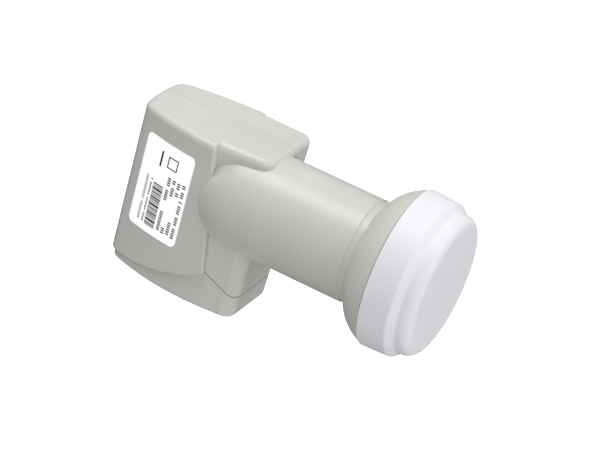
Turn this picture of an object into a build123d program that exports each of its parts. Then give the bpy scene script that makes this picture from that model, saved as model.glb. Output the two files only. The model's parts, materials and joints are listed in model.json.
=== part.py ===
from build123d import *
import os
from math import cos, hypot, radians, sin, tan

# A twin-output satellite feed: a round clamp neck carries a feed horn under a white cap, and a tall
# moulded block holds the converter. X runs along the neck towards the cap, Z is up, and the sockets
# point down. Millimetres. The origin is on the neck's axis, in the middle of the clamp length.

# Neck
neck_radius = 20.0
neck_length = 41.2
neck_wall = 2.0
dome_setback = 9.6
dome_draft = 0.2
relief_length = 3.0
relief_depth = 0.3
horn_boss_radius = 3.2
horn_boss_circle = 15.2
horn_boss_length = 12.0

# Block outline in plan, at the outside of the proud panels
block_length = 55.2
near_side = 14.7
far_side = 25.8
near_front_side = 13.4
far_front_side = 26.0
rear_near_side = 6.6
rear_far_side = 20.3
turn_setback = 11.6
near_bulge = 2.9
far_bulge = 1.8
rear_bulge = 1.3
rear_near_corner = 6.0
rear_far_corner = 7.0
front_near_corner = 7.0
front_far_corner = 6.0
wall = 2.0

# How far the core lies inside the panels
near_step = 1.9
far_step = 1.0
rear_step = 1.0

# How the core's front half leans in towards the roof and tapers in towards the foot
crown_depth = 3.5
near_lean = 1.8
foot_turn_draw = 0.8
foot_front_draw = 4.0
foot_far_corner = 10.0

# Block heights
roof_height = 21.4
panel_roof_round = 2.3
core_roof_round = 3.0
ridge_setback = 21.3
ridge_lean = 8.9
panel_round = 0.8
lip_peak_depth = 29.2
lip_middle_depth = 36.7
lip_rear_depth = 40.3
lip_middle_ahead = 4.0
skirt_band = 3.8
front_seam_depth = 35.1
front_seam_slope = 26.0
seam_round = 6.0
seam_gap = 0.35
shell_seam = 9.4
shell_gap = 0.1
neck_clearance = 0.3

# Skirt round the sockets
spigot_clearance = 0.15
spigot_wall = 1.6
spigot_top_depth = 31.0
skirt_floor = 1.8
skirt_round = 1.6

# Label
label_width = 22.7
label_height = 37.4
label_corner = 2.0
label_thickness = 0.12
label_back = 38.5
label_drop = 6.1

# Horn
bowl_length = 11.2
bowl_rim_radius = 30.0
bowl_middle_along = 4.4
bowl_middle_radius = 26.1
waveguide_radius = 9.0
tube_wall = 1.5
horn_floor = 4.0
inner_ring_length = 14.5
middle_ring_length = 15.5
middle_ring_radius = 18.2
ring_wall = 1.4
spigot_radius = 28.0
spigot_length = 6.6
horn_spigot_wall = 3.0

# Cap
cap_gap = 0.35
cap_fit = 0.2
cap_wall = 1.8
cap_band_length = 10.8
cap_band_draft = 0.5
cap_shoulder_length = 2.6
cap_step = 2.5
cap_front_draft = 0.5
cap_length = 18.8
cap_edge_round = 4.2
cap_shoulder_round = 1.8
cap_root_round = 1.2
cap_step_wall = 1.2

# Square-cut sealing rings
ring_width = 1.5
ring_pinch = 0.05
groove_clearance = 0.1

# Die-cast chassis
chassis_rear_gap = 9.2
chassis_front_gap = 8.6
chassis_top = 16.5
chassis_foot_depth = 30.0
foot_thickness = 4.0
foot_margin = 1.0
chassis_floor = 2.0
chassis_wall = 1.8
tray_depth = 4.8
tray_clearance = 0.1
well_floor = 0.4
well_top_depth = 13.0
collar_radius = 13.0
collar_length = 9.3
collar_setback = 2.1
sleeve_depth = 7.3
slide_fit = 0.1
short_circuit_setback = 7.5

# Board and lid
board_thickness = 0.8
board_clearance = 0.3
lid_thickness = 1.0
lid_corner = 2.0
lid_post_radius = 2.5
lid_post_inset = 1.8

# Chips on the board, each placed from the middle of the tray
chip_size = 5.0
chip_height = 0.9
chip_ahead = 1.0
chip_drop = 5.0
regulator_length = 6.5
regulator_width = 3.5
regulator_height = 1.6
regulator_behind = 3.5
regulator_rise = 6.5
crystal_length = 3.2
crystal_width = 2.5
crystal_height = 0.8
crystal_ahead = 7.5
crystal_drop = 4.5
small_part_length = 2.0
small_part_width = 1.25
small_part_height = 0.9
small_part_pitch = 4.2
upper_row_height = 3.5
lower_row_drop = 11.5

# Probes
probe_radius = 0.5
probe_bush_radius = 2.0
probe_bend = 1.2
straight_probe_setback = 8.0
bent_probe_setback = 17.0
probe_tip = 3.0
bent_probe_height = 12.8
solder_height = 0.8
bush_setback = 0.2

# Sockets
socket_spacing = 20.0
socket_offset = 6.0
socket_thread_radius = 4.763
socket_shank_radius = 4.45
socket_clearance = 0.2
socket_reach = 4.0
socket_chamfer = 0.5
thread_start = 0.3
socket_hex = 12.0
socket_hex_height = 3.0
socket_neck_radius = 4.3
socket_bore_radius = 3.4
socket_seal_radius = 7.2
socket_seal_thickness = 1.2
insulator_recess = 1.0
contact_recess = 1.6
contact_radius = 0.5
contact_bend = 1.2
contact_drop = 4.0
fit_gap = 0.05

# Screws and what they hold
cover_screw_rear_inset = 7.7
cover_screw_front_inset = 5.6
cover_screw_top = 16.3
cover_screw_bottom_depth = 24.0
cover_screw_seat = 17.0
rib_setback = 3.0
rib_spacing = 7.5
rib_thickness = 1.6
rib_margin = 2.0
rib_edge = 3.5
main_boss_radius = 2.9
cover_boss_radius = 4.2
screw_shank = 1.2
screw_clearance = 0.3
screw_head = 2.7
screw_head_height = 2.0
screw_head_chamfer = 0.6
screw_bite = 8.0
lid_screw_bite = 2.8
pilot_spare = 1.0
recess_reach = 1.5
recess_width = 0.7
recess_depth = 1.1

# Places that follow from the sizes above
x_seat = neck_length / 2
x_front = -neck_length / 2
x_rear = x_front - block_length
x_turn = x_front - turn_setback
x_ridge = x_front - ridge_setback
x_ridge_foot = x_ridge + (roof_height + lip_peak_depth) * tan(radians(ridge_lean))
z_bottom = -lip_rear_depth - skirt_band
z_crown = roof_height - crown_depth
tube_radius = waveguide_radius + tube_wall
x_tray_rear = x_rear + rear_step + wall + chassis_rear_gap
x_tray_front = x_front - wall - chassis_front_gap
y_floor = tube_radius + tray_clearance
y_board = y_floor + board_thickness
y_tray = y_floor + tray_depth
z_foot = -chassis_foot_depth
z_tray = z_foot + foot_thickness
x_short = x_tray_rear + short_circuit_setback
x_straight = x_short + straight_probe_setback
x_bent = x_short + bent_probe_setback
x_collar = x_front - collar_setback
socket_mid = (x_tray_rear + x_tray_front) / 2
socket_places = {"front": socket_mid + socket_spacing / 2, "rear": socket_mid - socket_spacing / 2}
z_flange = z_foot - socket_hex_height
z_socket = z_bottom - socket_reach
z_skirt_floor = z_flange - socket_seal_thickness
z_thread = z_skirt_floor - skirt_floor - thread_start
z_contact = -well_top_depth - chassis_wall - contact_drop
x_rim = x_seat + bowl_length
x_cap = x_rim + cap_gap
x_cap_groove = x_rim + spigot_length / 2
x_tube_groove = x_collar - sleeve_depth / 2
cap_groove_floor = spigot_radius - ring_width
tube_groove_roof = tube_radius + ring_width + groove_clearance
cap_bore = spigot_radius + cap_fit
spigot_inset = wall + spigot_clearance
boss_turns = (90, 210, 330)

# Reach of a cut that has to pass right out of the part, and of one that only breaks a surface
beyond = 200.0
overrun = 1.0


def bowed(start, end, rise):
    """An arc from start to end that bulges out on the left of the way it runs."""
    dx = end[0] - start[0]
    dy = end[1] - start[1]
    span = hypot(dx, dy)
    middle = ((start[0] + end[0]) / 2 - dy / span * rise, (start[1] + end[1]) / 2 + dx / span * rise)
    return ThreePointArc(start, middle, end)


def rounded(face, place, radius):
    """The face with the corner nearest to the place rounded off."""
    corner = face.vertices().sort_by_distance((place[0], place[1], 0))[0]
    return fillet(corner, radius)


def plan_outline(near_in, rear_in, far_turn, far_front, far_corner, x_nose):
    """The block seen from above, with its sides drawn in and its far side and front at given places."""
    rear_near = (x_rear + rear_in, -rear_near_side + rear_in)
    rear_far = (x_rear + rear_in, rear_far_side - rear_in)
    turn_far = (x_turn, far_turn)
    front_far = (x_nose, far_front)
    front_near = (x_nose, -near_front_side + near_in)
    turn_near = (x_turn, -near_side + near_in)
    outline = bowed(rear_near, rear_far, rear_bulge)
    outline += bowed(rear_far, turn_far, far_bulge)
    outline += Polyline(turn_far, front_far, front_near, turn_near)
    outline += bowed(turn_near, rear_near, near_bulge)
    face = make_face(outline)
    face = rounded(face, rear_near, rear_near_corner - rear_in)
    face = rounded(face, rear_far, rear_far_corner - rear_in)
    face = rounded(face, front_near, front_near_corner - near_step)
    return rounded(face, front_far, far_corner)


panel_plan = plan_outline(0, 0, far_side, far_front_side, front_far_corner, x_front + near_step)
core_far = far_side - far_step
core_far_front = far_front_side - far_step
core_head = plan_outline(
    near_step + near_lean, rear_step, core_far, core_far_front, front_far_corner - far_step, x_front
)
core_foot = plan_outline(
    near_step, rear_step, core_far - foot_turn_draw, core_far_front - foot_front_draw, foot_far_corner, x_front
)


def inset(plan, depth):
    """A plan outline moved in by a depth."""
    return offset(plan, -depth) if depth else plan


def prism(plan, low, high):
    """A plan face drawn up from one height to another."""
    return extrude(Pos(0, 0, low) * plan, high - low, dir=(0, 0, 1))


def core_form(depth, low, high):
    """The tapering core drawn in by a depth, from one height to another."""
    foot = inset(core_foot, depth)
    head = inset(core_head, depth)
    whole = loft([Pos(0, 0, z_bottom - overrun) * foot, Pos(0, 0, z_crown) * head], ruled=True)
    whole += prism(head, z_crown, roof_height + overrun)
    return whole & block(-beyond, beyond, -beyond, beyond, low, high)


def side_space(edges):
    """All the space inside a side-view outline in X and Z."""
    face = Pos(0, -beyond, 0) * make_face(edges)
    return extrude(face, 2 * beyond, dir=(0, 1, 0))


def rod_x(radius, start, end, y=0.0, z=0.0):
    """A round bar along X."""
    return Pos((start + end) / 2, y, z) * Rot(0, 90, 0) * Cylinder(radius, end - start)


def rod_y(radius, x, z, start, end):
    """A round bar along Y."""
    return Pos(x, (start + end) / 2, z) * Rot(90, 0, 0) * Cylinder(radius, end - start)


def rod_z(radius, x, y, start, end):
    """A round bar along Z."""
    return Pos(x, y, (start + end) / 2) * Cylinder(radius, end - start)


def block(x0, x1, y0, y1, z0, z1):
    """A plain box between two corners."""
    return Pos((x0 + x1) / 2, (y0 + y1) / 2, (z0 + z1) / 2) * Box(x1 - x0, y1 - y0, z1 - z0)


def lip_arc(drop):
    """The panels' lower edge from the ridge back past the rear, moved down by a drop."""
    x_back = x_rear - beyond / 50
    x_middle = (x_rear + x_ridge_foot) / 2 + lip_middle_ahead
    return ThreePointArc(
        (x_ridge_foot, 0, -lip_peak_depth - drop),
        (x_middle, 0, -lip_middle_depth - drop),
        (x_back, 0, -lip_rear_depth - drop),
    )


def above_lip(drop=0.0):
    """All the space above the housing's lower edge, from the front to the rear."""
    z_level = -front_seam_depth - drop
    x_bend = x_ridge_foot + (front_seam_depth - lip_peak_depth) / tan(radians(front_seam_slope))
    front = (x_seat, 0, z_level)
    peak = (x_ridge_foot, 0, -lip_peak_depth - drop)
    seam = FilletPolyline(front, (x_bend, 0, z_level), peak, radius=seam_round)
    lip = lip_arc(drop)
    rear = lip @ 1
    rest = Polyline(rear, (rear.X, 0, beyond), (x_seat, 0, beyond), front)
    return side_space(seam + lip + rest)


def behind_ridge(setback=0.0):
    """All the space behind the leaning ridge and above the panels' lower edge, drawn in by a setback."""
    slope = tan(radians(ridge_lean))
    lip = lip_arc(-setback)
    foot = lip @ 0
    rear = lip @ 1
    head = (x_ridge - (beyond - roof_height) * slope, 0, beyond)
    space = side_space(lip + Polyline(rear, (rear.X, 0, beyond), head, foot))
    return space & (Pos(-setback, 0, 0) * space)


def round_top(solid, radius):
    """The solid with its upper rim rounded."""
    return fillet(solid.faces().sort_by(Axis.Z)[-1].edges(), radius)


def outer_block():
    """The closed outside form of the block above the skirt."""
    panels = round_top(prism(panel_plan, z_bottom, roof_height), panel_roof_round) & behind_ridge()
    ridge = panels.faces().filter_by(GeomType.PLANE).sort_by(Axis.X)[-1]
    panels = fillet(ridge.edges().filter_by(Axis.Y, reverse=True), panel_round)
    panels = fillet(panels.faces().sort_by(Axis.Z)[0].edges(), panel_round)
    core = round_top(core_form(0, z_bottom, roof_height), core_roof_round) & above_lip()
    return panels + core


def room_inside(depth):
    """The block's form drawn in by a depth, with the room behind the proud panels."""
    core = core_form(depth, z_bottom, roof_height - depth)
    panels = prism(inset(panel_plan, depth), z_bottom, roof_height - depth)
    return core + (panels & behind_ridge(depth))


def neck_bar(radius, relief):
    """The neck as a solid bar, drawn in towards its domed rear end and at the horn's seat."""
    dome_radius = radius - dome_draft
    x_dome = x_front - dome_setback
    x_relief = x_seat - relief_length
    turn = radians(45)
    dome = ThreePointArc(
        (x_dome - dome_radius, 0),
        (x_dome - dome_radius * cos(turn), dome_radius * sin(turn)),
        (x_dome, dome_radius),
    )
    side = Polyline(
        (x_dome, dome_radius),
        (x_front, radius),
        (x_relief, radius),
        (x_relief + relief, radius - relief),
        (x_seat, radius - relief),
        (x_seat, 0),
        (x_dome - dome_radius, 0),
    )
    return revolve(make_face(dome + side), Axis.X)


block_form = outer_block()
boss_room = room_inside(wall / 2)
cavity = room_inside(wall)
neck_form = neck_bar(neck_radius, relief_depth)
neck_bore = neck_bar(neck_radius - neck_wall, relief_depth)
screw_places = [
    (x, z)
    for x in (x_rear + cover_screw_rear_inset, x_front - cover_screw_front_inset)
    for z in (cover_screw_top, -cover_screw_bottom_depth)
]


def boss_places():
    """The centres of the horn screw bosses across the neck."""
    return [(horn_boss_circle * cos(radians(t)), horn_boss_circle * sin(radians(t))) for t in boss_turns]


def tube_rib(x):
    """A rib from the near wall that steadies the wave tube."""
    half = rib_thickness / 2
    height = tube_radius + rib_margin
    rib = block(x - half, x + half, -near_side, -rib_edge, -height, height) & boss_room
    return rib - rod_x(tube_radius + slide_fit, x - rib_thickness, x + rib_thickness)


def main_housing():
    """The near shell with the roof's near half, the front wall and the neck in one moulding."""
    y_edge = shell_seam - shell_gap / 2
    shell = block_form + neck_form - cavity - neck_bore
    near = shell & block(-beyond, x_front, -beyond, y_edge, -beyond, beyond)
    tube = neck_form - neck_bore
    near += tube & block(x_front - wall, beyond, -beyond, beyond, -beyond, beyond)
    for x, z in screw_places:
        near += rod_y(main_boss_radius, x, z, -near_side, y_edge) & boss_room
        near -= rod_y(screw_shank + fit_gap, x, z, shell_seam - screw_bite - pilot_spare, shell_seam)
    near += tube_rib(x_short + rib_setback)
    near += tube_rib(x_short + rib_setback + rib_spacing)
    inside = rod_x(neck_radius - neck_wall / 2, x_front, x_seat)
    for y, z in boss_places():
        near += rod_x(horn_boss_radius, x_seat - horn_boss_length, x_seat, y, z) & inside
        near -= rod_x(screw_shank + fit_gap, x_seat - screw_bite - pilot_spare, x_seat, y, z)
    return near


def side_cover():
    """The far shell, notched round the neck, with sunk screw seats."""
    y_edge = shell_seam + shell_gap / 2
    cover = (block_form - cavity) & block(-beyond, beyond, y_edge, beyond, -beyond, beyond)
    for x, z in screw_places:
        cover += rod_y(cover_boss_radius, x, z, y_edge, far_side) & boss_room
    for x, z in screw_places:
        cover -= rod_y(screw_shank + screw_clearance, x, z, shell_seam, far_side)
        cover -= rod_y(screw_head + screw_clearance, x, z, cover_screw_seat, beyond)
    return cover - rod_x(neck_radius + neck_clearance, x_front - wall - neck_clearance, x_seat)


def connector_skirt():
    """The open skirt round the sockets, with a floor and a spigot up into the housing."""
    hollow_inset = spigot_inset + spigot_wall
    band = core_form(0, z_bottom, roof_height) - above_lip(seam_gap)
    band = fillet(band.faces().sort_by(Axis.Z)[0].edges(), skirt_round)
    skirt = band + core_form(spigot_inset, z_bottom + skirt_round, -spigot_top_depth)
    skirt -= core_form(hollow_inset, z_bottom - overrun, z_skirt_floor - skirt_floor)
    skirt -= core_form(hollow_inset, z_skirt_floor, 0)
    skirt -= core_form(spigot_inset, -spigot_top_depth, 0)
    for x in socket_places.values():
        skirt -= rod_z(socket_thread_radius + socket_clearance, x, socket_offset, -beyond, 0)
    return skirt


def rating_label():
    """The bare sticker on the near panel, following its curve."""
    plate = Rot(90, 0, 0) * RectangleRounded(label_width, label_height, label_corner)
    window = extrude(Pos(x_front - label_back, 0, -label_drop) * plate, beyond, dir=(0, -1, 0))
    skin = prism(offset(panel_plan, label_thickness), z_bottom, roof_height)
    skin -= prism(panel_plan, z_bottom - overrun, roof_height + overrun)
    return skin & window


def feed_horn():
    """The cast horn: bowl, choke rings and the wave tube that runs back down the neck."""
    x_floor = x_seat + horn_floor
    x_ledge = x_floor + horn_floor
    x_tip = x_rim + spigot_length
    x_ring = x_seat + middle_ring_length
    x_mouth = x_seat + inner_ring_length
    x_tube = x_collar - sleeve_depth
    ring_outer = middle_ring_radius + ring_wall
    spigot_inner = spigot_radius - horn_spigot_wall
    half_groove = ring_width / 2 + groove_clearance
    back = ThreePointArc(
        (x_seat, neck_radius),
        (x_seat + bowl_middle_along, bowl_middle_radius),
        (x_rim, bowl_rim_radius),
    )
    front = Polyline(
        (x_rim, bowl_rim_radius),
        (x_rim, spigot_radius),
        (x_cap_groove - half_groove, spigot_radius),
        (x_cap_groove - half_groove, cap_groove_floor),
        (x_cap_groove + half_groove, cap_groove_floor),
        (x_cap_groove + half_groove, spigot_radius),
        (x_tip, spigot_radius),
        (x_tip, spigot_inner),
        (x_ledge, spigot_inner),
        (x_ledge, ring_outer),
        (x_ring, ring_outer),
        (x_ring, middle_ring_radius),
        (x_floor, middle_ring_radius),
        (x_floor, tube_radius),
        (x_mouth, tube_radius),
        (x_mouth, waveguide_radius),
        (x_tube, waveguide_radius),
        (x_tube, tube_radius),
        (x_seat, tube_radius),
        (x_seat, neck_radius),
    )
    horn = revolve(make_face(back + front), Axis.X)
    for y, z in boss_places():
        horn -= rod_x(screw_shank + screw_clearance, x_seat - overrun, x_floor + overrun, y, z)
    return horn


def feed_cap():
    """The white weather cap over the horn's mouth."""
    x_band = x_cap + cap_band_length
    x_root = x_band + cap_shoulder_length
    x_face = x_cap + cap_length
    x_inner = x_face - cap_wall
    band_radius = cap_bore + cap_wall
    front_radius = band_radius - cap_step
    face_radius = front_radius - cap_front_draft
    outer = make_face(
        Polyline(
            (x_cap, 0),
            (x_cap, band_radius + cap_band_draft),
            (x_band, band_radius),
            (x_root, front_radius),
            (x_face, face_radius),
            (x_face, 0),
            close=True,
        )
    )
    outer = rounded(outer, (x_band, band_radius), cap_shoulder_round)
    outer = rounded(outer, (x_root, front_radius), cap_root_round)
    outer = rounded(outer, (x_face, face_radius), cap_edge_round)
    inner = make_face(
        Polyline(
            (x_cap - overrun, 0),
            (x_cap - overrun, cap_bore),
            (x_band - cap_step_wall, cap_bore),
            (x_root - cap_step_wall, front_radius - cap_wall),
            (x_inner, face_radius - cap_wall),
            (x_inner, 0),
            close=True,
        )
    )
    inner = rounded(inner, (x_inner, face_radius - cap_wall), cap_edge_round - cap_wall)
    return revolve(outer, Axis.X) - revolve(inner, Axis.X)


def sealing_ring(x, inner, outer):
    """A square-cut rubber ring about the neck's axis."""
    half = ring_width / 2
    return rod_x(outer, x - half, x + half) - rod_x(inner, x - half, x + half)


def lid_places():
    """The four lid screws in X and Z."""
    rim = chassis_wall + lid_post_inset
    xs = (x_tray_rear + rim, x_tray_front - rim)
    zs = (chassis_top - rim, z_tray + lid_post_inset)
    return [(x, z) for x in xs for z in zs]


def chassis():
    """The cast tray, with the wave tube's closed end, the socket foot and the lid posts."""
    x_in_rear = x_tray_rear + chassis_wall
    x_in_front = x_tray_front - chassis_wall
    y_under = y_floor - chassis_floor
    z_well = -well_top_depth
    foot_near = socket_offset - socket_hex / 2 - foot_margin
    half_groove = ring_width / 2 + groove_clearance
    body = block(x_tray_rear, x_tray_front, y_under, y_tray, z_tray, chassis_top)
    body += block(x_tray_rear, x_tray_front, well_floor, y_under, z_tray, z_well)
    body += block(x_tray_rear, x_tray_front, foot_near, y_tray, z_foot, z_tray)
    body += rod_x(tube_radius, x_short - chassis_floor, x_collar - overrun)
    body += rod_x(collar_radius, x_collar - collar_length, x_collar)
    body -= block(x_in_rear, x_in_front, y_floor, y_tray + overrun, z_tray, chassis_top - chassis_wall)
    body -= block(x_in_rear, x_in_front, well_floor + chassis_floor, y_board, z_tray, z_well - chassis_wall)
    body -= rod_x(waveguide_radius, x_short, x_collar)
    body -= rod_x(tube_radius + slide_fit, x_collar - sleeve_depth - slide_fit, x_collar)
    body -= rod_x(tube_groove_roof, x_tube_groove - half_groove, x_tube_groove + half_groove)
    for x, z in lid_places():
        body += rod_y(lid_post_radius, x, z, y_floor, y_tray)
        body -= rod_y(screw_shank + fit_gap, x, z, y_tray - lid_screw_bite - pilot_spare, y_tray)
    for x in socket_places.values():
        body -= rod_z(socket_neck_radius + fit_gap, x, socket_offset, z_foot - overrun, z_tray + overrun)
    bush_hole = probe_bush_radius + fit_gap
    body -= rod_y(bush_hole, x_straight, 0, waveguide_radius / 2, y_floor + overrun)
    body -= rod_z(bush_hole, x_bent, 0, waveguide_radius / 2, tube_radius + overrun)
    body -= rod_y(bush_hole, x_bent, bent_probe_height, y_under - overrun, y_floor + overrun)
    return body


def circuit_board():
    """The converter board on the tray's floor."""
    rim = chassis_wall + board_clearance
    z_low = z_tray + board_clearance
    board = block(x_tray_rear + rim, x_tray_front - rim, y_floor, y_board, z_low, chassis_top - rim)
    holes = [(x_straight, 0, probe_radius), (x_bent, bent_probe_height, probe_radius)]
    holes += [(x, z_contact, contact_radius) for x in socket_places.values()]
    for x, z, radius in holes:
        board -= rod_y(radius + fit_gap, x, z, y_floor - overrun, y_board + overrun)
    for x, z in lid_places():
        board -= rod_y(lid_post_radius + board_clearance, x, z, y_floor - overrun, y_board + overrun)
    return board


def board_part(x, z, length, width, height):
    """A chip lying on the board."""
    half_length = length / 2
    half_width = width / 2
    return block(x - half_length, x + half_length, y_board, y_board + height, z - half_width, z + half_width)


def surface_components():
    """Two rows of small capacitors beside the main chips."""
    parts = []
    for z in (upper_row_height, -lower_row_drop):
        for column in range(-2, 3):
            x = socket_mid + column * small_part_pitch
            parts.append(board_part(x, z, small_part_length, small_part_width, small_part_height))
    return Compound([part.solid() for part in parts])


def shield_lid():
    """The flat lid that closes the tray."""
    y_top = y_tray + lid_thickness
    lid = block(x_tray_rear, x_tray_front, y_tray, y_top, z_foot, chassis_top)
    lid = fillet(lid.edges().filter_by(Axis.Y), lid_corner)
    for x, z in lid_places():
        lid -= rod_y(screw_shank + screw_clearance, x, z, y_tray - overrun, y_top + overrun)
    return lid


def screw_y(x, z, seat, length):
    """A pan-head screw driven towards the near side, with a cross recess."""
    y_top = seat + screw_head_height
    half = recess_width / 2
    head = rod_y(screw_head, x, z, seat, y_top)
    head = chamfer(head.faces().sort_by(Axis.Y)[-1].edges(), screw_head_chamfer)
    screw = head + rod_y(screw_shank, x, z, seat - length, seat)
    y_recess = y_top - recess_depth
    screw -= block(x - recess_reach, x + recess_reach, y_recess, y_top, z - half, z + half)
    screw -= block(x - half, x + half, y_recess, y_top, z - recess_reach, z + recess_reach)
    return screw.solid()


def screw_x(y, z, seat, length):
    """A pan-head screw driven back into the neck."""
    return Pos(seat, y, z) * Rot(0, 0, -90) * screw_y(0, 0, 0, length)


def lid_screws():
    """The lid's four screws."""
    length = lid_thickness + lid_screw_bite
    return Compound([screw_y(x, z, y_tray + lid_thickness, length) for x, z in lid_places()])


def cover_screws():
    """The four long screws that draw the side cover to the housing."""
    length = cover_screw_seat - shell_seam + screw_bite
    return Compound([screw_y(x, z, cover_screw_seat, length) for x, z in screw_places])


def horn_screws():
    """The three screws that hold the horn on the neck."""
    length = horn_floor + screw_bite
    return Compound([screw_x(y, z, x_seat + horn_floor, length) for y, z in boss_places()])


def bent_wire(points, radius, bend):
    """A round wire along a bent path."""
    path = FilletPolyline(*points, radius=bend)
    return sweep(Plane(path @ 0, z_dir=path % 0) * Circle(radius), path)


def probe_straight():
    """The straight probe from the board into the wave tube."""
    return rod_y(probe_radius, x_straight, 0, probe_tip, y_board + solder_height)


def probe_bent():
    """The bent probe that enters the wave tube from above."""
    points = [
        (x_bent, y_board + solder_height, bent_probe_height),
        (x_bent, 0, bent_probe_height),
        (x_bent, 0, probe_tip),
    ]
    return bent_wire(points, probe_radius, probe_bend)


def probe_bushes():
    """The three bushes that keep the probes off the casting."""
    bore = probe_radius + fit_gap
    low = waveguide_radius + bush_setback
    y_under = y_floor - chassis_floor
    first = rod_y(probe_bush_radius, x_straight, 0, low, y_floor)
    first -= rod_y(bore, x_straight, 0, 0, y_board)
    second = rod_z(probe_bush_radius, x_bent, 0, low, tube_radius)
    second -= rod_z(bore, x_bent, 0, 0, chassis_top)
    third = rod_y(probe_bush_radius, x_bent, bent_probe_height, y_under, y_floor)
    third -= rod_y(bore, x_bent, bent_probe_height, 0, y_board)
    return Compound([first.solid(), second.solid(), third.solid()])


def socket_body(x):
    """A threaded coaxial socket with its hexagon, pressed into the chassis foot."""
    hexagon = RegularPolygon(socket_hex / 2, 6, major_radius=False)
    body = extrude(Pos(x, socket_offset, z_flange) * hexagon, socket_hex_height)
    thread = rod_z(socket_thread_radius, x, socket_offset, z_socket, z_thread)
    body += chamfer(thread.faces().sort_by(Axis.Z)[0].edges(), socket_chamfer)
    body += rod_z(socket_shank_radius, x, socket_offset, z_thread, z_flange)
    body += rod_z(socket_neck_radius, x, socket_offset, z_foot, z_tray)
    return body - rod_z(socket_bore_radius, x, socket_offset, z_socket - overrun, z_tray + overrun)


def socket_insulator(x):
    """The white insulator inside a socket."""
    tube = rod_z(socket_bore_radius - fit_gap, x, socket_offset, z_socket + insulator_recess, z_tray)
    return tube - rod_z(contact_radius + fit_gap, x, socket_offset, z_socket, z_tray + overrun)


def socket_contact(x):
    """The contact of a socket, bent up through the board."""
    points = [
        (x, socket_offset, z_socket + contact_recess),
        (x, socket_offset, z_contact),
        (x, y_board + solder_height, z_contact),
    ]
    return bent_wire(points, contact_radius, contact_bend)


def connector_seals():
    """The two washers between the socket hexagons and the skirt's floor."""
    rings = []
    for x in socket_places.values():
        ring = rod_z(socket_seal_radius, x, socket_offset, z_skirt_floor, z_flange)
        ring -= rod_z(socket_shank_radius + fit_gap, x, socket_offset, -beyond, 0)
        rings.append(ring.solid())
    return Compound(rings)


nodes = {
    "main_housing": main_housing(),
    "side_cover": side_cover(),
    "connector_skirt": connector_skirt(),
    "rating_label": rating_label(),
    "feed_horn": feed_horn(),
    "feed_cap": feed_cap(),
    "cap_seal": sealing_ring(x_cap_groove, cap_groove_floor + ring_pinch, cap_bore - ring_pinch),
    "waveguide_seal": sealing_ring(x_tube_groove, tube_radius + ring_pinch, tube_groove_roof - ring_pinch),
    "horn_screws": horn_screws(),
    "chassis": chassis(),
    "shield_lid": shield_lid(),
    "lid_screws": lid_screws(),
    "circuit_board": circuit_board(),
    "converter_chip": board_part(socket_mid + chip_ahead, -chip_drop, chip_size, chip_size, chip_height),
    "regulator": board_part(
        socket_mid - regulator_behind,
        z_tray + regulator_rise,
        regulator_length,
        regulator_width,
        regulator_height,
    ),
    "crystal": board_part(
        socket_mid + crystal_ahead, -crystal_drop, crystal_length, crystal_width, crystal_height
    ),
    "surface_components": surface_components(),
    "probe_straight": probe_straight(),
    "probe_bent": probe_bent(),
    "probe_bushes": probe_bushes(),
    "connector_seals": connector_seals(),
    "cover_screws": cover_screws(),
}
for side, x in socket_places.items():
    nodes["f_connector_" + side] = socket_body(x)
    nodes["f_insulator_" + side] = socket_insulator(x)
    nodes["f_contact_" + side] = socket_contact(x)

os.makedirs("parts", exist_ok=True)
for name, shape in nodes.items():
    export_step(shape, "parts/" + name + ".step")
    print(name, len(shape.solids()), round(shape.volume))
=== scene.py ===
import json
from math import cos, pi, radians, sin

import bpy
from mathutils import Matrix, Vector
from mathutils.bvhtree import BVHTree


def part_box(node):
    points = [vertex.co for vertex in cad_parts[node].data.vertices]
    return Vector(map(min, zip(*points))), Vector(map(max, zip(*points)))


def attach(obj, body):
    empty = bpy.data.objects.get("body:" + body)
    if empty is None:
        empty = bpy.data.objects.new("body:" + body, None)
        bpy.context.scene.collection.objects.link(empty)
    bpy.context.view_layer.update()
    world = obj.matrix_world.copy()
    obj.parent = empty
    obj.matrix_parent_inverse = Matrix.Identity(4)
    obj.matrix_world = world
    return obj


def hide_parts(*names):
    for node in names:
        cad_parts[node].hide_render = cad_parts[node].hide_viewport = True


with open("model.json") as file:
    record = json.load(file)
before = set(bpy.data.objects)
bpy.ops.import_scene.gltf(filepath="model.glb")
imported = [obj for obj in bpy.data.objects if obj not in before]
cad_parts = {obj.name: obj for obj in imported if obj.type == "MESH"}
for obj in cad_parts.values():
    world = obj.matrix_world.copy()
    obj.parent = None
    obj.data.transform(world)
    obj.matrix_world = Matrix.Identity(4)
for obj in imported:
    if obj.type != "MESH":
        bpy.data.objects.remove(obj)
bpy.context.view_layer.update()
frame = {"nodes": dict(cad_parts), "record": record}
nodes = frame["nodes"]

# A millimetre in the frame's metres
MM = 0.001

# Colours
GREY = (0.557, 0.550, 0.525)
WHITE = (0.726, 0.739, 0.768)
PAPER = (0.95, 0.95, 0.95)
PAINT = (0.560, 0.552, 0.522)
PAINT_SPECK = (0.470, 0.460, 0.430)
MASK_DARK = (0.020, 0.110, 0.045, 1)
MASK_LIGHT = (0.028, 0.140, 0.058, 1)
MASKED_COPPER = (0.090, 0.260, 0.100, 1)
FLOOR_WHITE = (0.95, 0.95, 0.95, 1)
GLOW_WHITE = (1, 1, 1, 1)

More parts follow.
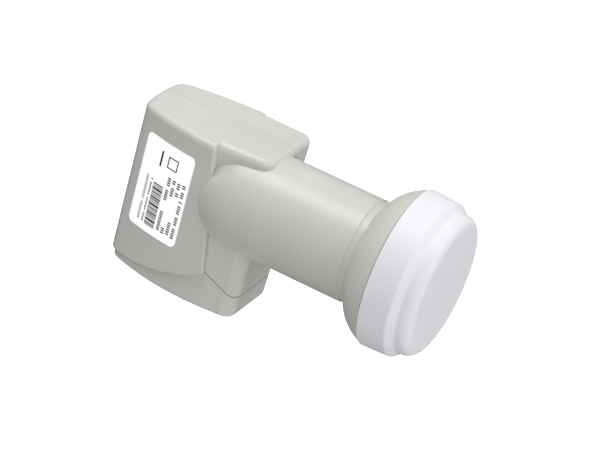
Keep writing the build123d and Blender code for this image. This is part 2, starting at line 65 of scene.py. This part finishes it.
# Plain surfaces: colour, roughness, grain in cells a metre, its depth in millimetres, mottle, metal
SURFACES = {
    "grey_plastic": (GREY, 0.36, 2600.0, 0.02, 0.03, 0.0),
    "white_plastic": (WHITE, 0.50, 2200.0, 0.02, 0.012, 0.0),
    "cast_alloy": ((0.62, 0.63, 0.64), 0.50, 1400.0, 0.06, 0.06, 1.0),
    "black_rubber": ((0.022, 0.022, 0.023), 0.70, 1600.0, 0.04, 0.15, 0.0),
    "screw_steel": ((0.58, 0.58, 0.57), 0.34, 1500.0, 0.02, 0.06, 1.0),
    "plated_brass": ((0.72, 0.70, 0.66), 0.26, 2600.0, 0.002, 0.04, 1.0),
    "contact_brass": ((0.72, 0.54, 0.24), 0.30, 1800.0, 0.01, 0.06, 1.0),
    "insulator_white": ((0.82, 0.81, 0.77), 0.48, 1500.0, 0.02, 0.02, 0.0),
    "chip_resin": ((0.020, 0.020, 0.021), 0.55, 2400.0, 0.02, 0.12, 0.0),
    "chip_ceramic": ((0.42, 0.30, 0.19), 0.50, 2000.0, 0.02, 0.10, 0.0),
    "ink": ((0.012, 0.012, 0.013), 0.50, 2400.0, 0.005, 0.2, 0.0),
    "faint_ink": ((0.35, 0.35, 0.36), 0.50, 2400.0, 0.005, 0.1, 0.0),
}
SLOW_CELLS = 45.0
ROUGHNESS_SPAN = 0.05

# Paint, paper and board: cells a metre, depths in millimetres, and roughness
PEEL_CELLS = 1100.0
PEEL_DEPTH = 0.04
PAINT_SPECK_CELLS = 2400.0
PAINT_ROUGHNESS = 0.55
PAINT_ROUGHNESS_SPAN = 0.06
FIBRE_CELLS = 1800.0
FIBRE_DEPTH = 0.01
PAPER_ROUGHNESS = (0.38, 0.46)
# The paper's glow is painted light: it makes the sticker brighter than the lamps leave it
PAPER_PAINTED_GLOW = 0.34
TRACK_CELLS = 160.0
TRACK_WIDTH = 0.03
TRACK_DEPTH = 0.03
MASK_CELLS = 700.0
MASK_ROUGHNESS = (0.28, 0.42)

# The span of a noise pattern that holds most of its values
NOISE_LOW = 0.3
NOISE_HIGH = 0.7

# Socket with a 3/8 inch 32 UNEF thread, in millimetres, heights from its open end
THREAD_RADIUS = 4.763
THREAD_PITCH = 25.4 / 32
THREAD_DEPTH = 0.487
THREAD_END = 11.8
OPEN_CHAMFER = 0.5
SHANK_RADIUS = 4.45
HEX_START = 15.1
HEX_END = 18.1
HEX_HALF_FLAT = 6.0
SOCKET_NECK = 4.3
SOCKET_TOP = 22.1
SOCKET_BORE = 3.4

# The thread's flats as shares of the pitch, and how finely the socket is meshed
ROOT_FLAT = 0.25
CREST_FLAT = 0.125
ROWS_A_PITCH = 8
SOCKET_SIDES = 48
SHARP_EDGE = radians(70)

# Label print in millimetres, across and down from the label's upper left corner
TICK_WIDTH = 0.55
TICK_PITCH = 0.92
RULE_ACROSS = (8.1, 8.9)
RULE_ALONG = (3.7, 10.0)
FRAME_CENTRE = (13.9, 6.6)
FRAME_SIDE = 4.6
FRAME_LINE = 0.45
CODE_ACROSS = (7.5, 12.3)
CODE_ALONG = (17.0, 34.5)
CODE_WIDTHS = (0.5, 0.25, 0.3, 0.85, 0.25, 0.55, 0.3, 0.25, 0.7)
CODE_GAP = 0.28

# Rows of words: the place across, the height of the ticks, and where each word starts with its ticks
BOLD_ROWS = (
    (6.4, 0.8, ((16.2, 1), (18.0, 6), (24.4, 6), (30.8, 4))),
    (14.1, 1.45, ((12.1, 4), (17.0, 5), (26.0, 9))),
    (16.3, 1.45, ((12.1, 2), (15.2, 4), (31.8, 3))),
    (18.5, 1.45, ((12.2, 3), (16.1, 2), (28.5, 6))),
    (20.8, 1.45, ((11.9, 2), (14.8, 3), (18.6, 1), (20.5, 4), (25.2, 4), (29.9, 5))),
)
FAINT_ROWS = ((4.3, 1.2, ((15.9, 11), (27.2, 8))),)

# How far the print stands off the label, and how often it is laid on the label's curve
PRINT_LIFT = 0.03 * MM
PRINT_STEP = 0.6 * MM

# The photograph's camera
EYE = Vector((0.2967, -0.8396, 0.4678))
AIM = Vector((-0.0056, -0.0072, 0.0026))
UP = Vector((-0.4103, 0.3372, 0.8473))
LENS = 168.0
SENSOR_WIDTH = 36.0
VIEW_END = 60.0

# Floor, in metres below the part
FLOOR_DROP = 0.95
FLOOR_SIZE = 30.0
FLOOR_ROUGHNESS = 0.9
FLOOR_GLOW = 0.6

# Studio light: the room's shade, its brighter walls by direction, and the softboxes' place, size and watts
ROOM_LEVEL = 0.03
ROOM_WALLS = (((0, 0, 1), 0.90), ((0, -1, 0), 0.14), ((1, 0, 0), 0.80))
SOFTBOXES = (
    ("overhead", (-0.32, -0.11, 1.0), 0.45, 4.2),
    ("front_key", (1.40, 0.0, 0.38), 0.5, 2.5),
    ("left_key", (-1.2, -0.15, 0.35), 0.5, 2.8),
    ("low_fill", (0.1, -1.2, -0.45), 0.5, 1.6),
    ("low_mid", (0.15, -0.55, -0.80), 0.4, 2.7),
)


def new_material(name):
    """An empty node material with its shader."""
    material = bpy.data.materials.new(name)
    material.use_nodes = True
    shader = material.node_tree.nodes["Principled BSDF"]
    return material, material.node_tree, shader


def place(tree):
    """Object coordinates for a pattern."""
    return tree.nodes.new("ShaderNodeTexCoord").outputs["Object"]


def noise(tree, vector, scale, detail=3.0, rough=0.55):
    """A noise pattern of so many cells a metre."""
    node = tree.nodes.new("ShaderNodeTexNoise")
    node.inputs["Scale"].default_value = scale
    node.inputs["Detail"].default_value = detail
    node.inputs["Roughness"].default_value = rough
    tree.links.new(vector, node.inputs["Vector"])
    return node.outputs["Fac"]


def ramp(tree, value, stops):
    """A colour ramp over a pattern."""
    node = tree.nodes.new("ShaderNodeValToRGB")
    band = node.color_ramp
    while len(band.elements) < len(stops):
        band.elements.new(0.5)
    for element, (position, colour) in zip(band.elements, stops):
        element.position = position
        element.color = (*colour, 1.0)
    tree.links.new(value, node.inputs["Fac"])
    return node.outputs["Color"]


def spread(tree, value, low, high):
    """A pattern stretched between two values."""
    node = tree.nodes.new("ShaderNodeMapRange")
    node.inputs["From Min"].default_value = NOISE_LOW
    node.inputs["From Max"].default_value = NOISE_HIGH
    node.inputs["To Min"].default_value = low
    node.inputs["To Max"].default_value = high
    tree.links.new(value, node.inputs["Value"])
    return node.outputs["Result"]


def bump(tree, shader, value, depth, strength=0.5):
    """A fine relief on the surface, its depth in millimetres."""
    node = tree.nodes.new("ShaderNodeBump")
    node.inputs["Strength"].default_value = strength
    node.inputs["Distance"].default_value = depth * MM
    tree.links.new(value, node.inputs["Height"])
    tree.links.new(node.outputs["Normal"], shader.inputs["Normal"])


def tint(colour, share):
    """A colour made darker or lighter by a share."""
    return tuple(min(1.0, channel * share) for channel in colour)


def grained(name, colour, roughness, grain, depth, mottle, metallic):
    """A moulded, painted or cast surface with fine grain and a slow change of shade."""
    material, tree, shader = new_material(name)
    vector = place(tree)
    slow = noise(tree, vector, SLOW_CELLS, 2.0)
    fine = noise(tree, vector, grain, 4.0, 0.65)
    stops = [(NOISE_LOW, tint(colour, 1 - mottle)), (NOISE_HIGH, tint(colour, 1 + mottle))]
    rough = spread(tree, fine, roughness - ROUGHNESS_SPAN, roughness + ROUGHNESS_SPAN)
    tree.links.new(ramp(tree, slow, stops), shader.inputs["Base Color"])
    tree.links.new(rough, shader.inputs["Roughness"])
    shader.inputs["Metallic"].default_value = metallic
    bump(tree, shader, fine, depth)
    return material


def cast_paint(name):
    """Paint over a casting, with a fine orange-peel grain and faint specks."""
    material, tree, shader = new_material(name)
    vector = place(tree)
    peel = noise(tree, vector, PEEL_CELLS, 3.0, 0.6)
    specks = noise(tree, vector, PAINT_SPECK_CELLS, 2.0, 0.5)
    stops = [(0.30, PAINT_SPECK), (0.42, PAINT), (0.70, tint(PAINT, 1.04))]
    duller = PAINT_ROUGHNESS + PAINT_ROUGHNESS_SPAN
    shinier = PAINT_ROUGHNESS - PAINT_ROUGHNESS_SPAN
    tree.links.new(ramp(tree, specks, stops), shader.inputs["Base Color"])
    tree.links.new(spread(tree, peel, duller, shinier), shader.inputs["Roughness"])
    bump(tree, shader, peel, PEEL_DEPTH)
    return material


def board_laminate(name):
    """Green solder mask with copper runs under it."""
    material, tree, shader = new_material(name)
    vector = place(tree)
    brick = tree.nodes.new("ShaderNodeTexBrick")
    brick.inputs["Scale"].default_value = TRACK_CELLS
    brick.inputs["Color1"].default_value = MASK_DARK
    brick.inputs["Color2"].default_value = MASK_LIGHT
    brick.inputs["Mortar"].default_value = MASKED_COPPER
    brick.inputs["Mortar Size"].default_value = TRACK_WIDTH
    tree.links.new(vector, brick.inputs["Vector"])
    rough = spread(tree, noise(tree, vector, MASK_CELLS), *MASK_ROUGHNESS)
    tree.links.new(brick.outputs["Color"], shader.inputs["Base Color"])
    tree.links.new(rough, shader.inputs["Roughness"])
    bump(tree, shader, brick.outputs["Fac"], TRACK_DEPTH, 0.4)
    return material


def coated_paper(name):
    """The bare face of a coated sticker, with a weak glow of painted light that keeps it white."""
    material, tree, shader = new_material(name)
    fibre = noise(tree, place(tree), FIBRE_CELLS, 4.0)
    stops = [(NOISE_LOW, tint(PAPER, 0.985)), (NOISE_HIGH, PAPER)]
    tree.links.new(ramp(tree, fibre, stops), shader.inputs["Base Color"])
    tree.links.new(spread(tree, fibre, *PAPER_ROUGHNESS), shader.inputs["Roughness"])
    # Painted light: the paper glows a little so it stays white
    shader.inputs["Emission Color"].default_value = GLOW_WHITE
    shader.inputs["Emission Strength"].default_value = PAPER_PAINTED_GLOW
    bump(tree, shader, fibre, FIBRE_DEPTH, 0.3)
    return material


looks = {name: grained(name, *surface) for name, surface in SURFACES.items()}
looks["label_paper"] = coated_paper("label_paper")
looks["cast_paint"] = cast_paint("cast_paint")
looks["board_laminate"] = board_laminate("board_laminate")
for entry in frame["record"]["subparts"]:
    held = nodes[entry["node"]].data.materials
    held.clear()
    held.append(looks[entry["material_slot"]])


def thread_radius(height, turn):
    """The thread's radius at a height and a share of a turn, chamfered at the open end."""
    phase = (height / THREAD_PITCH - turn) % 1.0
    flank = (abs(2 * phase - 1) - ROOT_FLAT) / (1 - ROOT_FLAT - CREST_FLAT)
    run_out = 1 - (THREAD_END - height) / THREAD_PITCH
    share = min(1.0, max(0.0, flank, run_out))
    radius = THREAD_RADIUS - THREAD_DEPTH * (1 - share)
    return min(radius, THREAD_RADIUS - OPEN_CHAMFER + height)


def hexagon_radius(turn):
    """The hexagon's radius at a share of a turn, with a corner at the start."""
    return HEX_HALF_FLAT / cos((turn * 6 % 1.0 - 0.5) * pi / 3)


def socket_rings():
    """The rings of points that wrap a socket, each a height and its radii round the turn."""
    turns = [side / SOCKET_SIDES for side in range(SOCKET_SIDES)]
    bore = [SOCKET_BORE] * SOCKET_SIDES
    shank = [SHANK_RADIUS] * SOCKET_SIDES
    neck = [SOCKET_NECK] * SOCKET_SIDES
    hexagon = [hexagon_radius(turn) for turn in turns]
    steps = int(THREAD_END / THREAD_PITCH * ROWS_A_PITCH)
    heights = [THREAD_END * step / steps for step in range(steps + 1)]
    rings = [(0.0, bore)]
    rings += [(height, [thread_radius(height, turn) for turn in turns]) for height in heights]
    rings += [(THREAD_END, shank), (HEX_START, shank), (HEX_START, hexagon), (HEX_END, hexagon)]
    return rings + [(HEX_END, neck), (SOCKET_TOP, neck), (SOCKET_TOP, bore)]


def ring_points(rings, x_mid, y_mid, z_low):
    """The rings' points in the frame, about a socket's axis."""
    points = []
    for height, radii in rings:
        for k, radius in enumerate(radii):
            angle = 2 * pi * k / SOCKET_SIDES
            across = radius * MM
            points.append((x_mid + across * cos(angle), y_mid + across * sin(angle), z_low + height * MM))
    return points


def ring_faces(count):
    """Faces that join each ring to the next, and the last ring to the first."""
    faces = []
    for row in range(count):
        ring = row * SOCKET_SIDES
        next_ring = (row + 1) % count * SOCKET_SIDES
        for k in range(SOCKET_SIDES):
            ahead = (k + 1) % SOCKET_SIDES
            faces.append((ring + k, ring + ahead, next_ring + ahead, next_ring + k))
    return faces


def threaded_socket(side):
    """A socket with its real thread, in place of the plain one."""
    node = "f_connector_" + side
    low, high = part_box(node)
    rings = socket_rings()
    points = ring_points(rings, (low[0] + high[0]) / 2, (low[1] + high[1]) / 2, low[2])
    mesh = bpy.data.meshes.new("threaded_socket_" + side)
    mesh.from_pydata(points, [], ring_faces(len(rings)))
    mesh.shade_smooth()
    mesh.set_sharp_from_angle(angle=SHARP_EDGE)
    mesh.materials.append(looks["plated_brass"])
    piece = bpy.data.objects.new("threaded_socket_" + side, mesh)
    bpy.context.scene.collection.objects.link(piece)
    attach(piece, "root")
    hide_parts(node)


def label_surface():
    """The label's outer face as a tree to drop points on."""
    label = nodes["rating_label"]
    points = [vertex.co.copy() for vertex in label.data.vertices]
    return BVHTree.FromPolygons(points, [list(polygon.vertices) for polygon in label.data.polygons])


def print_patch(tree, points, faces, box):
    """One printed rectangle in X and Z, laid on the label's curve."""
    x0, x1, z0, z1 = box
    columns = max(2, int((x1 - x0) / PRINT_STEP) + 2)
    start = len(points)
    for i in range(columns):
        x = x0 + (x1 - x0) * i / (columns - 1)
        for z in (z0, z1):
            hit = tree.ray_cast(Vector((x, -1.0, z)), Vector((0, 1, 0)))[0]
            points.append((x, hit.y - PRINT_LIFT, z))
    for i in range(columns - 1):
        a = start + 2 * i
        faces.append((a, a + 2, a + 3, a + 1))


def printed(name, boxes, look):
    """A set of printed rectangles as one piece on the label."""
    tree = label_surface()
    points = []
    faces = []
    for box in boxes:
        print_patch(tree, points, faces, box)
    mesh = bpy.data.meshes.new(name)
    mesh.from_pydata(points, [], faces)
    piece = bpy.data.objects.new(name, mesh)
    bpy.context.scene.collection.objects.link(piece)
    mesh.materials.append(looks[look])
    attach(piece, "root")


def word_ticks(left, top, rows):
    """Rows of plain ticks that stand for words, read down the label."""
    boxes = []
    for across, height, words in rows:
        x0 = left + (across - height / 2) * MM
        x1 = left + (across + height / 2) * MM
        for along, count in words:
            for letter in range(count):
                z = top - (along + letter * TICK_PITCH) * MM
                boxes.append((x0, x1, z - TICK_WIDTH * MM, z))
    return boxes


def plain_rule(left, top):
    """One plain bar beside the square."""
    x0, x1 = (left + across * MM for across in RULE_ACROSS)
    z1, z0 = (top - along * MM for along in RULE_ALONG)
    return [(x0, x1, z0, z1)]


def square_frame(left, top):
    """A plain square outline of four bars."""
    half = FRAME_SIDE / 2
    line = FRAME_LINE * MM
    across, along = FRAME_CENTRE
    x0 = left + (across - half) * MM
    x1 = left + (across + half) * MM
    z0 = top - (along + half) * MM
    z1 = top - (along - half) * MM
    return [
        (x0, x1, z1 - line, z1),
        (x0, x1, z0, z0 + line),
        (x0, x0 + line, z0 + line, z1 - line),
        (x1 - line, x1, z0 + line, z1 - line),
    ]


def code_bars(left, top):
    """A block of plain bars of a few widths."""
    x0, x1 = (left + across * MM for across in CODE_ACROSS)
    along, end = CODE_ALONG
    boxes = []
    while along < end:
        width = CODE_WIDTHS[len(boxes) % len(CODE_WIDTHS)]
        z = top - along * MM
        boxes.append((x0, x1, z - width * MM, z))
        along += width + CODE_GAP
    return boxes


def label_print():
    """Plain bars, ticks and a frame where a sticker has its print, with no letters or marks."""
    low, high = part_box("rating_label")
    left, top = low[0], high[2]
    bold = plain_rule(left, top) + square_frame(left, top) + code_bars(left, top)
    bold += word_ticks(left, top, BOLD_ROWS)
    printed("label_print", bold, "ink")
    printed("label_fine_print", word_ticks(left, top, FAINT_ROWS), "faint_ink")


def studio_floor():
    """A wide pale floor, bright enough to lose its edges."""
    bpy.ops.mesh.primitive_plane_add(size=FLOOR_SIZE, location=(0, 0, -FLOOR_DROP))
    floor = bpy.context.object
    floor.name = "studio_floor"
    material, _, shader = new_material("floor_white")
    shader.inputs["Base Color"].default_value = FLOOR_WHITE
    shader.inputs["Roughness"].default_value = FLOOR_ROUGHNESS
    shader.inputs["Emission Color"].default_value = GLOW_WHITE
    shader.inputs["Emission Strength"].default_value = FLOOR_GLOW
    floor.data.materials.append(material)
    floor.visible_diffuse = False
    floor.visible_glossy = False


def softbox(name, spot, size, power):
    """A large square light that faces the origin."""
    data = bpy.data.lights.new(name, "AREA")
    data.shape = "SQUARE"
    data.size = size
    data.energy = power
    lamp = bpy.data.objects.new(name, data)
    bpy.context.scene.collection.objects.link(lamp)
    lamp.location = spot
    lamp.rotation_euler = (-Vector(spot)).to_track_quat("-Z", "Y").to_euler()
    lamp.visible_camera = False


def facing(tree, coords, axis):
    """How far a direction of the room faces an axis, from -1 to 1."""
    node = tree.nodes.new("ShaderNodeVectorMath")
    node.operation = "DOT_PRODUCT"
    node.inputs[1].default_value = Vector(axis).normalized()
    tree.links.new(coords.outputs["Generated"], node.inputs[0])
    return node.outputs["Value"]


def glow(tree, coords, axis, level):
    """The extra brightness of the room's wall that lies along an axis."""
    node = tree.nodes.new("ShaderNodeMapRange")
    node.interpolation_type = "SMOOTHSTEP"
    node.inputs["To Max"].default_value = level
    tree.links.new(facing(tree, coords, axis), node.inputs["Value"])
    return node.outputs["Result"]


def studio_room():
    """A dim room whose walls differ in brightness."""
    world = bpy.data.worlds.new("studio")
    bpy.context.scene.world = world
    world.use_nodes = True
    tree = world.node_tree
    coords = tree.nodes.new("ShaderNodeTexCoord")
    shade = None
    for axis, level in ROOM_WALLS:
        add = tree.nodes.new("ShaderNodeMath")
        add.inputs[1].default_value = ROOM_LEVEL
        tree.links.new(glow(tree, coords, axis, level), add.inputs[0])
        if shade:
            tree.links.new(shade, add.inputs[1])
        shade = add.outputs["Value"]
    tree.links.new(shade, tree.nodes["Background"].inputs["Color"])


def photo_camera():
    """The camera at the photograph's place and lean."""
    data = bpy.data.cameras.new("photo_camera")
    data.lens = LENS
    data.sensor_width = SENSOR_WIDTH
    data.clip_end = VIEW_END
    camera = bpy.data.objects.new("photo_camera", data)
    bpy.context.scene.collection.objects.link(camera)
    back = (EYE - AIM).normalized()
    right = UP.cross(back).normalized()
    up = back.cross(right)
    turn = Matrix((right, up, back)).transposed().to_4x4()
    camera.matrix_world = Matrix.Translation(EYE) @ turn
    bpy.context.scene.camera = camera


threaded_socket("front")
threaded_socket("rear")
label_print()
studio_floor()
studio_room()
for name, spot, size, power in SOFTBOXES:
    softbox(name, spot, size, power)
photo_camera()
bpy.context.scene.view_settings.view_transform = "Standard"
